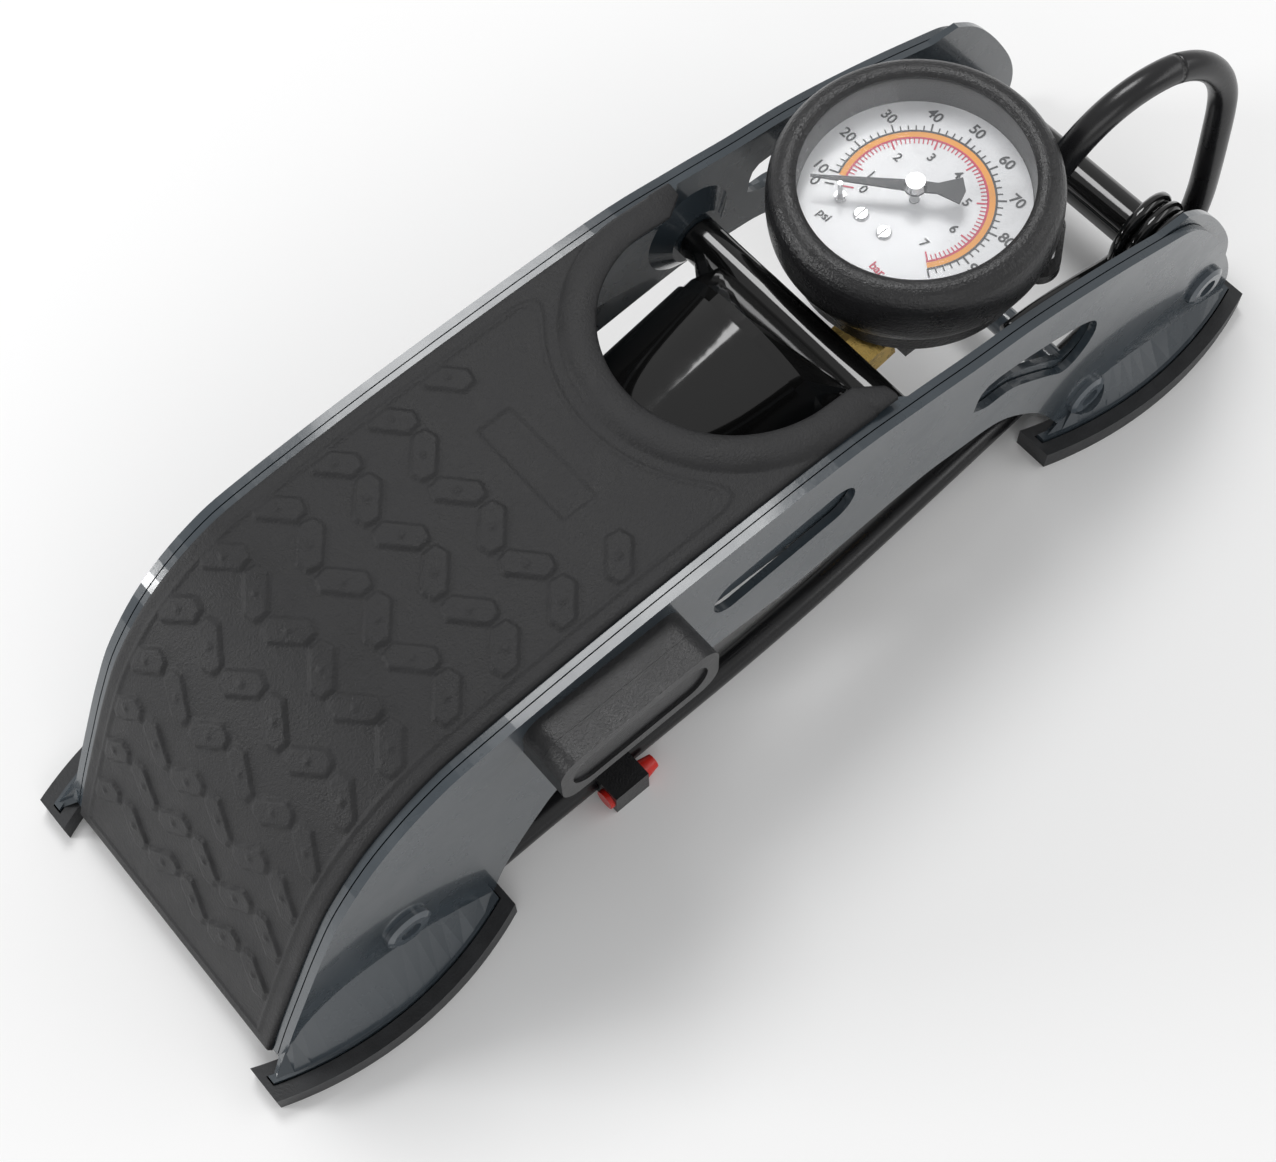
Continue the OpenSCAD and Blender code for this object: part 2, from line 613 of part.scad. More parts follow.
// Clip on the hose that parks a nozzle adaptor
clip_x = -52;
module adaptor_clip() {
    color([0.08, 0.08, 0.08]) difference() {
        translate([clip_x - 5, -43.5, 0]) cube([10, 14.5, 8.4]);
        translate([clip_x - 10, -33.5, 3.6]) rotate([0, 90, 0]) cylinder(h = 20, r = hose_d / 2 + 0.15);
        translate([clip_x - 10, -40.5, 4.2]) rotate([0, 90, 0]) cylinder(h = 20, r = 2);
    }
}
module nozzle_adaptor() {
    color([0.8, 0.1, 0.08]) translate([0, -40.5, 4.2]) {
        along(clip_x - 6.2, clip_x - 5, 2.6);
        along(clip_x - 5, clip_x + 5, 2);
        translate([clip_x + 5, 0, 0]) rotate([0, 90, 0]) cylinder(h = 4, r1 = 2.6, r2 = 1.8);
    }
}

base_plate_right();
base_plate_left();
shoe_front_right();
shoe_front_left();
shoe_rear_right();
shoe_rear_left();
hinge_pin();
rear_cross_rod();
front_rivets();
hinge_spacer();
return_spring();
case_box();
case_lid();
case_rivets();
pedal_channel();
pedal_pad();
head_pin();
barrel_tube();
barrel_head();
barrel_cap();
check_valve();
outlet_union();
gauge_block();
gauge_case();
gauge_boot();
dial_face();
gauge_lens();
dial_screws();
stop_pin();
bourdon_tube();
needle();
needle_shaft();
piston_rod();
front_cross_tube();
piston();
piston_seal();
air_hose();
chuck_body();
chuck_seal();
chuck_lever();
adaptor_clip();
nozzle_adaptor();
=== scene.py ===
import json
import math
import bmesh
import bpy
from mathutils import Matrix, Vector
from mathutils.bvhtree import BVHTree


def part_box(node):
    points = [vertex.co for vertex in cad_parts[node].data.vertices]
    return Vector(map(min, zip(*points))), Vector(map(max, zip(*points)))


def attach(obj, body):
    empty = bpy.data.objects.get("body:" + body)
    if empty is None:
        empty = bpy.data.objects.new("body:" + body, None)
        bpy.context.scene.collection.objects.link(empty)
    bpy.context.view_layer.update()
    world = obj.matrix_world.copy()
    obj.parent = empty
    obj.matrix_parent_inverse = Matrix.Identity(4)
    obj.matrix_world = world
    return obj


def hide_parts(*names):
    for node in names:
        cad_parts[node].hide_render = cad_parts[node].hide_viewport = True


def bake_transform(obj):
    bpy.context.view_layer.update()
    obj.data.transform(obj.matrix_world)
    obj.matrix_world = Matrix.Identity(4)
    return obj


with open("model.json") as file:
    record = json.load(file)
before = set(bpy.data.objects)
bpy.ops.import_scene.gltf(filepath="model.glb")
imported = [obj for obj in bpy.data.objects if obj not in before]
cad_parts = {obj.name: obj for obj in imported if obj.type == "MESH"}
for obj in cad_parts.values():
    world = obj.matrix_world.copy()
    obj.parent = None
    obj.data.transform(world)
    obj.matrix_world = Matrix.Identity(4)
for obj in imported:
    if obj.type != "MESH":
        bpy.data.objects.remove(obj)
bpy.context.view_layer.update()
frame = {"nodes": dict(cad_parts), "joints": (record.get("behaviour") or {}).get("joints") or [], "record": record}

NODES = frame["nodes"]
JOINTS = {joint["name"]: joint for joint in frame["joints"]}
MM = 0.001


# ---------------------------------------------------------------- camera and light

CAMERA_AT = (-0.1512, -0.1731, 0.4582)
CAMERA_RIGHT, CAMERA_UP = Vector((0.7553, -0.6552, -0.0194)), Vector((0.5972, 0.6754, 0.4327))
LENS_MM, SENSOR_MM = 57.82, 36
FLOOR_REACH = 4


def make_camera():
    right, up = CAMERA_RIGHT, CAMERA_UP
    back = right.cross(up).normalized()
    up = back.cross(right).normalized()
    camera = bpy.data.objects.new("camera", bpy.data.cameras.new("camera"))
    camera.data.lens = LENS_MM
    camera.data.sensor_width = SENSOR_MM
    camera.data.clip_start = 0.01
    turn = Matrix((right.normalized(), up, back)).transposed()
    camera.matrix_world = Matrix.Translation(CAMERA_AT) @ turn.to_4x4()
    bpy.context.collection.objects.link(camera)
    bpy.context.scene.camera = camera


def make_light(name, place, aim, size, power):
    lamp = bpy.data.objects.new(name, bpy.data.lights.new(name, "AREA"))
    lamp.data.shape = "RECTANGLE"
    lamp.data.size, lamp.data.size_y = size
    lamp.data.energy = power
    direction = Vector(aim) - Vector(place)
    turn = direction.to_track_quat("-Z", "Y").to_matrix().to_4x4()
    lamp.matrix_world = Matrix.Translation(place) @ turn
    bpy.context.collection.objects.link(lamp)


def make_stage():
    world = bpy.data.worlds.new("studio")
    world.use_nodes = True
    sky = world.node_tree.nodes["Background"]
    sky.inputs["Color"].default_value = (1, 1, 1, 1)
    sky.inputs["Strength"].default_value = 0.5
    bpy.context.scene.world = world
    bpy.context.scene.view_settings.view_transform = "Standard"
    far = FLOOR_REACH
    floor = new_mesh("floor", [(-far, -far, 0), (far, -far, 0), (far, far, 0), (-far, far, 0)],
                     [(0, 1, 2, 3)])
    finish_floor = material("floor_white")
    floor_shader = finish_floor.node_tree.nodes["Principled BSDF"]
    floor_shader.inputs["Base Color"].default_value = (0.93, 0.93, 0.93, 1)
    floor_shader.inputs["Roughness"].default_value = 0.9
    floor.data.materials.append(finish_floor)
    make_light("soft_top", (0.25, 0.5, 1.2), (0, 0, 0), (0.5, 0.5), 6.5)
    make_light("key_left", (-0.9, 0.7, 0.45), (-0.05, 0, 0.04), (0.35, 0.2), 5)
    make_light("strip_right", (0.75, -0.55, 0.6), (0, 0, 0.04), (0.9, 0.3), 1.6)
    make_light("front_fill", (-0.5, -0.9, 0.7), (0, 0, 0.04), (0.8, 0.5), 1.6)


# ---------------------------------------------------------------- meshes

def new_mesh(name, points, faces, smooth=False):
    mesh = bpy.data.meshes.new(name)
    mesh.from_pydata([tuple(p) for p in points], [], faces)
    mesh.update()
    if smooth:
        mesh.shade_smooth()
    thing = bpy.data.objects.new(name, mesh)
    bpy.context.collection.objects.link(thing)
    return thing


def add_bevel(thing, width, segments=3, angle=35):
    bevel = thing.modifiers.new("edge", "BEVEL")
    bevel.width = width
    bevel.segments = segments
    bevel.limit_method = "ANGLE"
    bevel.angle_limit = math.radians(angle)
    bevel.harden_normals = False


def smooth_route(points, count):
    """Catmull-Rom curve through the points, with count steps between each two."""
    out = []
    last = len(points) - 1
    for i in range(last):
        a, b = points[max(i - 1, 0)], points[i]
        c, d = points[i + 1], points[min(i + 2, last)]
        for k in range(count):
            t = k / count
            out.append((2 * b + (c - a) * t + (2 * a - 5 * b + 4 * c - d) * t * t
                        + (3 * b - a - 3 * c + d) * t ** 3) / 2)
    out.append(points[last])
    return out


def route_length(points):
    return sum((b - a).length for a, b in zip(points, points[1:]))


def sweep(name, path, radius, sides, first_normal):
    """Round tube along a path, closed at both ends."""
    points, faces = [], []
    normal = Vector(first_normal)
    last = len(path) - 1
    for i, place in enumerate(path):
        along = (path[min(i + 1, last)] - path[max(i - 1, 0)]).normalized()
        normal = (normal - along * normal.dot(along)).normalized()
        side = along.cross(normal)
        for k in range(sides):
            angle = 2 * math.pi * k / sides
            points.append(place + (normal * math.cos(angle) + side * math.sin(angle)) * radius)
    for i in range(last):
        for k in range(sides):
            a, b = i * sides + k, i * sides + (k + 1) % sides
            faces.append((a, b, b + sides, a + sides))
    faces.append(tuple(range(sides - 1, -1, -1)))
    faces.append(tuple(last * sides + k for k in range(sides)))
    return new_mesh(name, points, faces, smooth=True)


def ramp_step(value, low, high):
    t = min(1.0, max(0.0, (value - low) / (high - low)))
    return t * t * (3 - 2 * t)


# ---------------------------------------------------------------- shader expressions

class Socket:
    """A shader output with arithmetic."""

    def __init__(self, tree, output):
        self.tree, self.output = tree, output

    def node(self, kind, settings=None, **values):
        """Adds a node. Sockets go by name, or by number as i0, i1 and so on."""
        made = self.tree.nodes.new(kind)
        for key, value in (settings or {}).items():
            setattr(made, key, value)
        for key, value in values.items():
            numbered = key[0] == "i" and key[1:].isdigit()
            slot = made.inputs[int(key[1:]) if numbered else key]
            if isinstance(value, Socket):
                self.tree.links.new(value.output, slot)
            else:
                slot.default_value = value
        return made

    def maths(self, operation, other):
        made = self.node("ShaderNodeMath", {"operation": operation}, i0=self, i1=other)
        return Socket(self.tree, made.outputs[0])

    def noise(self, scale, detail, roughness):
        made = self.node("ShaderNodeTexNoise", None, Vector=self, Scale=scale, Detail=detail,
                         Roughness=roughness)
        return Socket(self.tree, made.outputs[0])

    def __add__(self, other): return self.maths("ADD", other)
    def __radd__(self, other): return self.maths("ADD", other)
    def __mul__(self, other): return self.maths("MULTIPLY", other)
    def __rmul__(self, other): return self.maths("MULTIPLY", other)

    def spread(self, low, high, to_low=0.0, to_high=1.0):
        made = self.node("ShaderNodeMapRange", {"clamp": True}, i0=self, i1=low, i2=high,
                         i3=to_low, i4=to_high)
        return Socket(self.tree, made.outputs[0])

    def mix(self, first, second):
        made = self.node("ShaderNodeMix", {"data_type": "RGBA"}, i0=self, i6=first, i7=second)
        return Socket(self.tree, made.outputs[2])


def material(name):
    made = bpy.data.materials.new(name)
    made.use_nodes = True
    return made


def rgb(r, g, b):
    return (r, g, b, 1.0)


def finish_material(name, colour, roughness, grain=(), metallic=0.0, coat=0.0, coat_rough=0.1,
                    mottle=0.12, mottle_scale=60.0, rough_spread=0.08, specular=0.5, alpha=1.0):
    """Procedural finish: mottled colour, varied roughness and a fine grain in the bump."""
    made = material(name)
    tree = made.node_tree
    shader = tree.nodes["Principled BSDF"]
    place = Socket(tree, tree.nodes.new("ShaderNodeTexCoord").outputs["Object"])
    cloud = place.noise(mottle_scale, 4.0, 0.6)
    dark = rgb(*(c * (1 - mottle) for c in colour[:3]))
    light = rgb(*(min(1.0, c * (1 + mottle)) for c in colour[:3]))
    tone = cloud.spread(0.35, 0.65).mix(dark, light)
    rough = cloud.spread(0.3, 0.7, roughness - rough_spread, roughness + rough_spread)
    tree.links.new(tone.output, shader.inputs["Base Color"])
    tree.links.new(rough.output, shader.inputs["Roughness"])
    height = None
    for scale, strength in grain:
        speck = place.noise(scale, 3.0, 0.65) * strength
        height = speck if height is None else height + speck
    if height is not None:
        bump = place.node("ShaderNodeBump", None, Strength=0.6, Distance=0.0004, Height=height)
        tree.links.new(bump.outputs["Normal"], shader.inputs["Normal"])
    shader.inputs["Metallic"].default_value = metallic
    shader.inputs["Coat Weight"].default_value = coat
    shader.inputs["Coat Roughness"].default_value = coat_rough
    shader.inputs["Specular IOR Level"].default_value = specular
    shader.inputs["Alpha"].default_value = alpha
    return made


def dress(thing, finish):
    thing.data.materials.clear()
    thing.data.materials.append(finish)


# ---------------------------------------------------------------- finishes

slate = finish_material("slate_enamel", rgb(0.034, 0.045, 0.055), 0.26,
                        grain=((500, 0.08), (120, 0.06)), coat=0.6, coat_rough=0.06, mottle=0.05)
deep_black = finish_material("deep_black_enamel", rgb(0.006, 0.006, 0.006), 0.08, grain=((70, 0.25),),
                             coat=0.25, coat_rough=0.03, mottle=0.1, rough_spread=0.03)
pad_rubber = finish_material("pad_rubber", rgb(0.02, 0.02, 0.021), 0.5,
                             grain=((1700, 0.9), (500, 0.35)), mottle=0.16, mottle_scale=110,
                             specular=0.3)
shoe_rubber = finish_material("shoe_rubber", rgb(0.022, 0.023, 0.025), 0.5,
                              grain=((1500, 0.4), (260, 0.4)), mottle=0.25, mottle_scale=140,
                              specular=0.4)
boot_rubber = finish_material("boot_rubber", rgb(0.013, 0.013, 0.014), 0.3,
                              grain=((1300, 1.0), (420, 0.3)), mottle=0.1, mottle_scale=200,
                              rough_spread=0.05)
hose_rubber = finish_material("hose_rubber", rgb(0.01, 0.01, 0.011), 0.27, grain=((700, 0.12),),
                              mottle=0.1, rough_spread=0.05)
black_plastic = finish_material("black_plastic", rgb(0.014, 0.014, 0.015), 0.33,
                                grain=((1900, 0.7), (600, 0.3)), mottle=0.1)
bright_steel = finish_material("bright_steel", rgb(0.62, 0.62, 0.63), 0.22, grain=((800, 0.2),),
                               metallic=1.0, mottle=0.08, mottle_scale=300)
rod_steel = finish_material("ground_steel", rgb(0.6, 0.61, 0.62), 0.16, grain=((1500, 0.15),),
                            metallic=1.0, mottle=0.05)
brass = finish_material("yellow_brass", rgb(0.72, 0.5, 0.16), 0.26, grain=((500, 0.3),), metallic=1.0,
                        mottle=0.16, mottle_scale=220)
rivet_paint = finish_material("rivet_enamel", rgb(0.07, 0.085, 0.1), 0.24, grain=((700, 0.3),), coat=0.6,
                              mottle=0.1)
dial_print = finish_material("dial_print", rgb(0.8, 0.81, 0.83), 0.3, mottle=0.07, mottle_scale=75,
                             coat=0.3)
ink_black = finish_material("ink_black", rgb(0.012, 0.014, 0.018), 0.4, mottle=0.1)
ink_red = finish_material("ink_red", rgb(0.62, 0.01, 0.07), 0.4, mottle=0.08)
ink_orange = finish_material("ink_orange", rgb(0.9, 0.34, 0.005), 0.4, mottle=0.06)
red_plastic = finish_material("red_plastic", rgb(0.62, 0.02, 0.012), 0.3, grain=((900, 0.2),),
                              mottle=0.06)
seal_rubber = finish_material("seal_rubber", rgb(0.012, 0.012, 0.012), 0.4, grain=((900, 0.2),))
lens_clear = finish_material("lens_clear", rgb(0.95, 0.97, 1.0), 0.04, mottle=0.01, rough_spread=0.0,
                             alpha=0.05)

FINISH_OF = {
    "slate_paint": slate, "shoe_rubber": shoe_rubber, "pad_rubber": pad_rubber,
    "rivet_paint": rivet_paint, "gloss_black": deep_black, "black_plastic": black_plastic,
    "bright_steel": bright_steel, "polished_steel": rod_steel, "yellow_brass": brass,
    "seal_rubber": seal_rubber, "boot_rubber": boot_rubber, "hose_rubber": hose_rubber,
    "dial_white": dial_print, "clear_lens": lens_clear, "needle_black": ink_black,
    "red_plastic": red_plastic,
}


def dress_nodes():
    slots = {part["node"]: part["material_slot"] for part in frame["record"]["subparts"]}
    for name, thing in NODES.items():
        dress(thing, FINISH_OF[slots[name]])
        thing.data.shade_smooth()
        thing.data.set_sharp_from_angle(angle=math.radians(38))
    soft_edges = {
        0.0006: ["base_plate_right", "base_plate_left", "case_box", "gauge_block"],
        0.0007: ["pedal_channel"],
        0.0008: ["shoe_front_right", "shoe_front_left", "shoe_rear_right", "shoe_rear_left"],
        0.0010: ["case_lid"],
        0.0004: ["chuck_body", "chuck_lever", "adaptor_clip", "outlet_union", "hinge_pin",
                 "rear_cross_rod", "front_rivets", "barrel_cap", "barrel_tube", "needle"],
        0.0002: ["dial_screws", "needle_shaft", "nozzle_adaptor", "stop_pin"],
    }
    for width, names in soft_edges.items():
        for name in names:
            add_bevel(NODES[name], width)


# ---------------------------------------------------------------- hose

HOSE_R = 3.55 * MM
HOSE_ROUTE = [Vector(p) * MM for p in (
    (73, -8, 54), (77.2, -8, 52.6), (82.5, -8, 51.3), (88, -8, 51.2), (93.5, -8.3, 52.3),
    (98.6, -8.8, 54.6), (103, -9.4, 58), (107.3, -10, 63.6), (111.3, -10.8, 70.5),
    (115.3, -11.6, 75.7), (120.5, -12.4, 79.7), (126.5, -13.3, 82.2), (133, -14.2, 83),
    (139.5, -15.1, 82.2), (145.5, -16.2, 79.7), (150.7, -17.3, 75.7), (154.7, -18.4, 70.5),
    (157.2, -19.4, 64.5), (158, -20.3, 58), (158, -21.4, 48), (158, -22.3, 38), (158, -23, 27),
    (156.3, -23.6, 17.6), (151.6, -24.2, 10.4), (144.4, -24.8, 5.7), (136, -25.2, 4),
    (124, -26, 3.6), (100, -27.6, 3.6), (72, -29.4, 3.6), (43, -31.2, 3.6), (15, -32.7, 3.6),
    (-13, -33.4, 3.6), (-42, -33.5, 3.6), (-70, -33.5, 3.6), (-93, -33.5, 3.6),
    (-104.2, -31.3, 3.6), (-113.6, -25, 3.6), (-119.8, -15.6, 3.6), (-122, -4.5, 3.6),
    (-119.8, 6.6, 3.6), (-113.6, 16, 3.6), (-104.2, 22.3, 3.6), (-93, 24.5, 3.6),
    (-75, 24.8, 3.6), (-50, 25, 3.6), (-25, 25, 4.4), (-8, 25, 6), (6, 25, 7.5))]
CREST = 13  # route point near the top of the loop, where the two pieces meet
ROUTE_STEPS = 6
HOSE_SIDES = 20
ACROSS = (0, 1, 0)


def make_hose():
    """The hose as two swept pieces that meet near the top of the loop: the rise between pedal and barrel, and the
    run between floor and pedal."""
    line = smooth_route(HOSE_ROUTE, ROUTE_STEPS)
    crest = CREST * ROUTE_STEPS
    rise, run = line[:crest + 1], line[crest:]
    rise_piece = sweep("hose_rise", rise, HOSE_R, HOSE_SIDES, ACROSS)
    run_piece = sweep("hose_run", run, HOSE_R, HOSE_SIDES, ACROSS)
    for piece in (rise_piece, run_piece):
        dress(piece, hose_rubber)
    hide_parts("air_hose")
    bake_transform(rise_piece)
    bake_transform(run_piece)
    route_length(rise)
    route_length(run)


# ---------------------------------------------------------------- pedal pad

class TopCurve:
    """The pad's top line in X-Z, measured on the CAD pad, by arc length from the foot end."""

    def __init__(self):
        pad = NODES["pedal_pad"]
        tree = BVHTree.FromPolygons([v.co.copy() for v in pad.data.vertices],
                                    [tuple(p.vertices) for p in pad.data.polygons])
        low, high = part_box("pedal_pad")
        beside = high.y - 2 * MM
        self.points = []
        steps = 1400
        for i in range(steps + 1):
            x = low.x + (high.x - low.x) * i / steps
            hit = tree.ray_cast(Vector((x, beside, 1)), Vector((0, 0, -1)))[0]
            if hit:
                self.points.append(Vector((hit.x, hit.z)))
        start = self.points[0]
        self.points.insert(0, Vector((start.x, low.z)))
        self.at = [0.0]
        for a, b in zip(self.points, self.points[1:]):
            self.at.append(self.at[-1] + (b - a).length)
        self.length = self.at[-1]

    def place(self, s):
        low, high = 0, len(self.at) - 1
        while high - low > 1:
            middle = (low + high) // 2
            low, high = (middle, high) if self.at[middle] <= s else (low, middle)
        share = (s - self.at[low]) / max(self.at[high] - self.at[low], 1e-9)
        return self.points[low].lerp(self.points[high], share)

    def frame_at(self, s):
        reach = 2.5 * MM
        here = self.place(s)
        ahead = self.place(min(s + reach, self.length)) - self.place(max(s - reach, 0))
        ahead.normalize()
        return here, Vector((-ahead.y, ahead.x))


HEX_LENGTH, HEX_WIDTH, HEX_TURN = 12.6, 5.7, math.radians(49)
TREAD_COLUMNS, TREAD_PITCH_Y, TREAD_MIDDLE_Y = 6, 11.2, 1.0
TREAD_PITCH_S, TREAD_START_S = 15.0, 5.3
INNER_END, OUTER_END = 146, 160
BEAD_INSET, LIP_WIDTH, BAND = 4.2, 8.2, 3.4
PANEL_S, PANEL_Y, PANEL_HALF = 156.6, 0.9, (4.4, 14.0)


def hexagon_depth(u, v):
    """How far inside a long hexagon a point is, in mm; negative outside."""
    return min(HEX_WIDTH / 2 - abs(v), (HEX_LENGTH / 2 - abs(u) - 0.66 * abs(v)) * 0.83)


def tread_height(s, y):
    """Raised tread of the pad, in mm, at s along the pad and y across it, both in mm."""
    deepest, pip = -9.0, 9.0
    column = math.floor((y - TREAD_MIDDLE_Y) / TREAD_PITCH_Y)
    row = round((s - TREAD_START_S) / TREAD_PITCH_S)
    for c in (column - 1, column, column + 1):
        if not -TREAD_COLUMNS / 2 <= c < TREAD_COLUMNS / 2:
            continue
        turn = HEX_TURN if c % 2 else -HEX_TURN
        end = OUTER_END if c in (-TREAD_COLUMNS / 2, TREAD_COLUMNS / 2 - 1) else INNER_END
        for r in (row - 1, row, row + 1):
            centre_s = r * TREAD_PITCH_S + TREAD_START_S
            if not 12 < centre_s < end:
                continue
            ds, dy = s - centre_s, y - TREAD_MIDDLE_Y - (c + 0.5) * TREAD_PITCH_Y
            u = ds * math.cos(turn) + dy * math.sin(turn)
            v = dy * math.cos(turn) - ds * math.sin(turn)
            deepest = max(deepest, hexagon_depth(u, v))
            pip = min(pip, math.hypot(u, v))
    return 0.62 * ramp_step(deepest, -0.1, 0.32) + 0.3 * ramp_step(0.75 - pip, -0.3, 0.3)


def opening_distance(x, y):
    """Signed distance in mm to the pad's opening: round, then straight and flaring out."""
    centre_x, radius = 16.0, 29.0
    if x < centre_x:
        return math.hypot(x - centre_x, y) - radius
    edge = radius + max(0.0, x - 24.0) * 0.66
    return (abs(y) - edge) * (1.0 if x < 24 else 0.84)


def onto_opening(x, y):
    """The nearest point of the opening's edge, in mm."""
    for _ in range(4):
        here = opening_distance(x, y)
        gx = opening_distance(x + 0.1, y) - opening_distance(x - 0.1, y)
        gy = opening_distance(x, y + 0.1) - opening_distance(x, y - 0.1)
        size = math.hypot(gx, gy) or 1.0
        x, y = x - here * gx / size, y - here * gy / size
    return x, y


def lip_height(d):
    """The rounded lip round the opening, in mm, at d mm from its edge."""
    middle = LIP_WIDTH / 2
    return 1.7 * math.sqrt(max(0.0, 1 - ((d - middle + 0.3) / (middle + 0.3)) ** 2))


def smaller(a, b, blend):
    """The smaller of two distances, rounded where they meet."""
    share = max(0.0, min(1.0, 0.5 + 0.5 * (b - a) / blend))
    return b + (a - b) * share - blend * share * (1 - share)


def pad_height(s, x, y, edge):
    """Height of the pad's face above its plain surface, in mm."""
    d = opening_distance(x, y)
    field = smaller(edge - BEAD_INSET, d - LIP_WIDTH - BAND, 8.0)
    height = -1.1 * (1 - math.sqrt(max(0.0, 1 - (1 - min(1.0, edge / 1.3)) ** 2)))
    height += lip_height(d) + 0.32 * ramp_step(0.55 - abs(field), -0.1, 0.4)
    height += tread_height(s, y) * ramp_step(field, 0.6, 1.2)
    inside = min(PANEL_HALF[0] - abs(s - PANEL_S), PANEL_HALF[1] - abs(y - PANEL_Y))
    return height - 0.35 * ramp_step(inside, -0.25, 0.25)


def make_pad():
    """A fine grid along the pad's curve, cut out round the opening and given its thickness."""
    curve = TopCurve()
    half_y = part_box("pedal_pad")[1].y
    step, lift = 0.5 * MM, 0.45
    rows, columns = int(curve.length / step), int(2 * half_y / step)
    stations = [curve.frame_at(curve.length * i / rows) for i in range(rows + 1)]
    ys = [-half_y + 2 * half_y * j / columns for j in range(columns + 1)]

    def kept(i, j):
        if not (0 <= i < rows and 0 <= j < columns):
            return None
        x = (stations[i][0].x + stations[i + 1][0].x) / 2 / MM
        return opening_distance(x, (ys[j] + ys[j + 1]) / 2 / MM) > 0.1 and x < 32.5

    index, points, faces = {}, [], []

    def vertex(i, j):
        if (i, j) not in index:
            here, normal = stations[i]
            s, y = curve.length * i / rows, ys[j]
            if False in (kept(i, j), kept(i - 1, j), kept(i, j - 1), kept(i - 1, j - 1)) \
                    and here.x < 32 * MM:
                x, y = (v * MM for v in onto_opening(here.x / MM, y / MM))
                s += x - here.x
                here, normal = curve.frame_at(max(0.0, min(s, curve.length)))
            edge = min(half_y / MM - abs(y / MM), s / MM)
            shift = (pad_height(s / MM, here.x / MM, y / MM, edge) - lift) * MM
            index[i, j] = len(points)
            points.append((here.x + normal.x * shift, y, here.y + normal.y * shift))
        return index[i, j]

    for i in range(rows):
        for j in range(columns):
            if kept(i, j):
                faces.append([vertex(i, j), vertex(i + 1, j), vertex(i + 1, j + 1), vertex(i, j + 1)])
    pad = new_mesh("tread_pad", points, faces, smooth=True)
    skin = pad.modifiers.new("thickness", "SOLIDIFY")
    skin.thickness = 1.2 * MM
    skin.offset = -1
    dress(pad, pad_rubber)
    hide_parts("pedal_pad")
    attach(pad, "pedal")


# ---------------------------------------------------------------- return spring

WIRE_R, COIL_R, COIL_TURNS, COIL_PITCH, COIL_Y = 1.75 * MM, 10 * MM, 4.5, 3.8 * MM, -34.6 * MM
COIL_STEPS, LEG_STEPS, WIRE_SIDES = 24, 3, 14
UPPER_LEG = ((78, 51), (100, 45.2), (125, 36.6), (133, 33.8))
LOWER_LEG = ((132, 13.2), (118, 17.4), (104, 20.6), (94, 21.4))


def spring_leg(corners, y):
    return smooth_route([Vector((x * MM, y, z * MM)) for x, z in corners], LEG_STEPS)


def make_spring():
    """The return spring as one swept wire: the upper leg, the coil wound round the hinge, then the lower leg."""
    pivot = Vector(JOINTS["pedal_hinge"]["pos_m"])
    coil = []
    for i in range(int(COIL_TURNS * COIL_STEPS) + 1):
        angle = math.pi / 2 + 2 * math.pi * i / COIL_STEPS
        coil.append(Vector((pivot.x - COIL_R * math.cos(angle), COIL_Y + COIL_PITCH * i / COIL_STEPS,
                            pivot.z + COIL_R * math.sin(angle))))
    end_y = coil[-1].y
    path = spring_leg(UPPER_LEG, COIL_Y) + coil + spring_leg(LOWER_LEG, end_y)
    spring = sweep("return_coil", path, WIRE_R, WIRE_SIDES, ACROSS)
    dress(spring, deep_black)
    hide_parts("return_spring")
    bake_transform(spring)


# ---------------------------------------------------------------- dial

PSI_PER_BAR = 14.223
PRINT_LIFT = 0.06 * MM
RING_STEPS = 160
RING_EDGE, RING_ORANGE, RING_RED = (18.1, 18.6), (16.7, 18.2), (16.2, 16.7)
NUMBERS_OUT, NUMBERS_IN = (22.9, 3.7), (11.7, 3.1)  # radius and letter height, in mm


def gauge_frame():
    """Where the dial is: X towards its top, Z out of its face."""
    spin = JOINTS["needle_spin"]
    normal = -Vector(spin["axis"]).normalized()
    up = Vector((1, 0, 0))
    up = (up - normal * up.dot(normal)).normalized()
    side = normal.cross(up)
    turn = Matrix((up, side, normal)).transposed().to_4x4()
    return Matrix.Translation(Vector(spin["pos_m"])) @ turn


def psi_angle(psi):
    """Angle on the dial in radians, from its up direction; the first ten are cramped."""
    degrees = 213.5 - psi if psi <= 10 else 203.5 - 2.65 * (psi - 10)
    return math.radians(degrees)


def dial_point(radius, angle):
    return (radius * math.sin(angle) * MM, -radius * math.cos(angle) * MM)


def ring_strip(name, radii, psi_from, psi_to, height, finish, place):
    points, faces = [], []
    for i in range(RING_STEPS + 1):
        angle = psi_angle(psi_from + (psi_to - psi_from) * i / RING_STEPS)
        for radius in radii:
            x, y = dial_point(radius, angle)
            points.append(place @ Vector((x, y, height)))
    for a in range(0, 2 * RING_STEPS, 2):
        faces.append((a, a + 1, a + 3, a + 2))
    return print_piece(name, points, faces, finish)


def tick_strips(name, ticks, height, finish, place):
    points, faces = [], []
    for angle, inner, outer, width in ticks:
        x, y = math.sin(angle), -math.cos(angle)
        across = Vector((-y, x, 0)) * width / 2 * MM
        base = len(points)
        for radius in (inner, outer):
            middle = Vector((x * radius * MM, y * radius * MM, height))
            points.append(place @ (middle - across))
            points.append(place @ (middle + across))
        faces.append((base, base + 1, base + 3, base + 2))
    return print_piece(name, points, faces, finish)


def print_piece(name, points, faces, finish):
    """A printed shape on the dial, with all its faces turned outwards."""
    piece = new_mesh(name, points, faces)
    bm = bmesh.new()
    bm.from_mesh(piece.data)
    for face in bm.faces:
        if face.normal.z < 0:
            face.normal_flip()
    bm.to_mesh(piece.data)
    bm.free()
    dress(piece, finish)
    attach(piece, "barrel")
    return piece


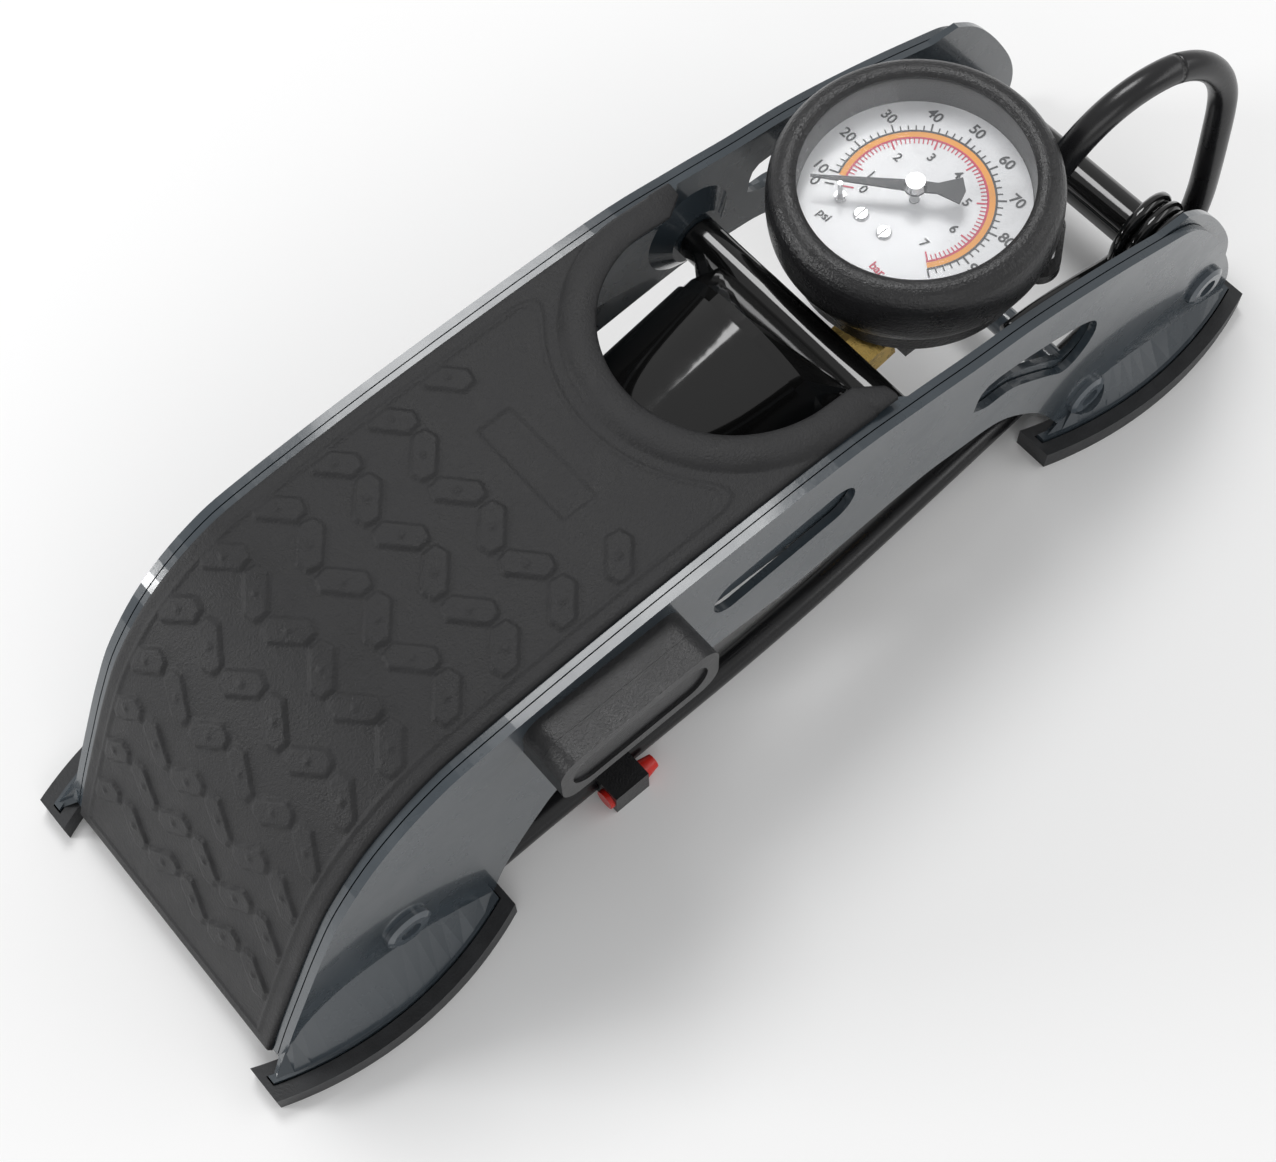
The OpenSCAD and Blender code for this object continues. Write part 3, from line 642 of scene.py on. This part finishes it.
def dial_text(name, words, radius, angle, size, finish, place, height):
    text = bpy.data.curves.new(name, "FONT")
    text.body = words
    text.size = size * MM
    text.align_x, text.align_y = "CENTER", "CENTER"
    text.offset = 0.07 * MM
    piece = bpy.data.objects.new(name, text)
    bpy.context.collection.objects.link(piece)
    x, y = dial_point(radius, angle)
    upright = Matrix.Rotation(-math.pi / 2, 4, "Z")
    piece.matrix_world = place @ Matrix.Translation((x, y, height)) @ upright
    bpy.context.view_layer.update()
    graph = bpy.context.evaluated_depsgraph_get()
    mesh = bpy.data.meshes.new_from_object(piece.evaluated_get(graph))
    mesh.transform(piece.matrix_world)
    bpy.data.objects.remove(piece)
    letters = bpy.data.objects.new(name, mesh)
    bpy.context.collection.objects.link(letters)
    dress(letters, finish)
    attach(letters, "barrel")


def make_dial():
    place = gauge_frame()
    top = 2 * PRINT_LIFT
    ring_strip("ring_edge", RING_EDGE, 10, 100, top, ink_black, place)
    ring_strip("ring_orange", RING_ORANGE, 9, 100, PRINT_LIFT, ink_orange, place)
    ring_strip("ring_red", RING_RED, 9, 100, top, ink_red, place)
    outer = [(psi_angle(p), 18.4, 20.6 if p % 10 == 0 else 19.8, 0.42 if p % 10 == 0 else 0.3)
             for p in [0] + list(range(10, 101, 2))]
    inner = [(psi_angle(tenth / 10 * PSI_PER_BAR), 13.9 if tenth % 10 == 0 else 14.9, 16.4,
              0.4 if tenth % 10 == 0 else 0.28) for tenth in [0] + list(range(7, 71))]
    tick_strips("psi_ticks", outer, top, ink_black, place)
    tick_strips("bar_ticks", inner, top, ink_red, place)
    for value in range(0, 100, 10):
        dial_text(f"psi_{value}", str(value), NUMBERS_OUT[0], psi_angle(value), NUMBERS_OUT[1],
                  ink_black, place, top)
    for value in range(0, 8):
        dial_text(f"bar_{value}", str(value), NUMBERS_IN[0], psi_angle(value * PSI_PER_BAR),
                  NUMBERS_IN[1], ink_black, place, top)
    dial_text("unit_psi", "psi", 20.5, math.radians(238), 3.0, ink_black, place, top)
    dial_text("unit_bar", "bar", 20.0, math.radians(292), 2.9, ink_red, place, top)


# ---------------------------------------------------------------- build

make_camera()
make_stage()
dress_nodes()
make_hose()
make_spring()
make_pad()
make_dial()
